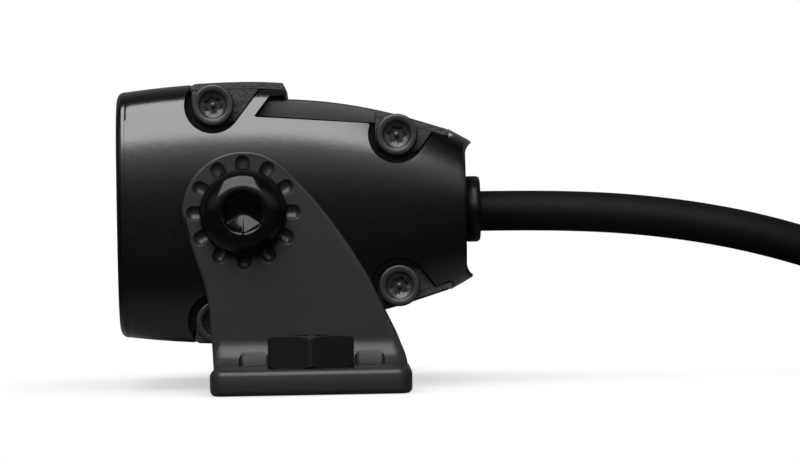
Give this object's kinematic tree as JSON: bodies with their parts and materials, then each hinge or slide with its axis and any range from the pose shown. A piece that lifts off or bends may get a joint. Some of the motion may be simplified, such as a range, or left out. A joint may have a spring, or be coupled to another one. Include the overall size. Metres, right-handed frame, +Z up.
{
  "type": "backup camera",
  "caption": "Reversing camera for a truck: a tilting cast head between two L-shaped brackets, with tamper-proof cover screws and a short coiled lead with a round connector.",
  "frame": {"origin": "on the mounting plane under the feet, at the centre of the four small screw holes, midway between the two brackets", "axes": "+X to the camera's own left, along the tilt axis; +Y to the rear, where the lead leaves; +Z up; the lens faces -Y"},
  "size_m": [0.1182, 0.2457, 0.0518],
  "materials": {
    "black_powder_coat": "satin powder coat",
    "bracket_powder_coat": "fine satin powder coat",
    "black_textured_cast": "coarse textured coat on cast aluminium",
    "black_steel_fasteners": "black oxide",
    "gloss_black_steel": "gloss black coat",
    "plain_steel": "bright zinc",
    "brass_parts": "bright",
    "window_glass": "clear flat glass",
    "lens_glass": "coated lens",
    "clear_lamp_resin": "tinted clear resin",
    "circuit_board": "solder mask",
    "sensor_chip": "glossy",
    "black_rubber": "matte",
    "cable_jacket": "satin extruded jacket",
    "black_moulded_plastic": "fine moulded",
    "black_satin_plastic": "satin",
    "white_moulded_plastic": "moulded",
    "lead_insulation": "smooth"
  },
  "bodies": {
    "brackets": {"bracket_left": "bracket_powder_coat", "bracket_right": "bracket_powder_coat", "weld_nuts": "bracket_powder_coat", "cable": "cable_jacket", "cable_coil": "cable_jacket", "cable_end": "cable_jacket", "coil_tie": "black_moulded_plastic", "plug_boot": "black_rubber", "plug_body": "black_satin_plastic", "plug_ring": "black_satin_plastic", "plug_insert": "black_moulded_plastic", "plug_pins": "brass_parts"},
    "head": {"housing": "black_powder_coat", "top_cover": "black_textured_cast", "bottom_cover": "black_textured_cast", "cover_screws": "black_steel_fasteners", "front_bezel": "black_powder_coat", "bezel_screws": "black_steel_fasteners", "front_glass": "window_glass", "glass_gasket": "black_rubber", "led_board": "circuit_board", "infrared_lamps": "clear_lamp_resin", "light_sensor": "clear_lamp_resin", "lens_barrel": "black_moulded_plastic", "lens_elements": "lens_glass", "lens_holder": "black_moulded_plastic", "image_sensor": "sensor_chip", "main_board": "circuit_board", "board_chips": "black_moulded_plastic", "board_standoffs": "brass_parts", "board_screws": "plain_steel", "board_socket": "white_moulded_plastic", "inner_leads": "lead_insulation", "gland_body": "black_satin_plastic", "gland_locknut": "plain_steel", "gland_seal": "black_rubber", "pivot_inserts": "plain_steel", "pivot_bolts": "gloss_black_steel", "friction_washers": "white_moulded_plastic"}
  },
  "joints": [
    {"name": "tilt", "type": "hinge", "parent": "brackets", "child": "head", "pos_m": [0, -0.01095, 0.0296], "axis": [1, 0, 0], "range_deg": [-25, 90], "deforming": ["cable"]}
  ]
}
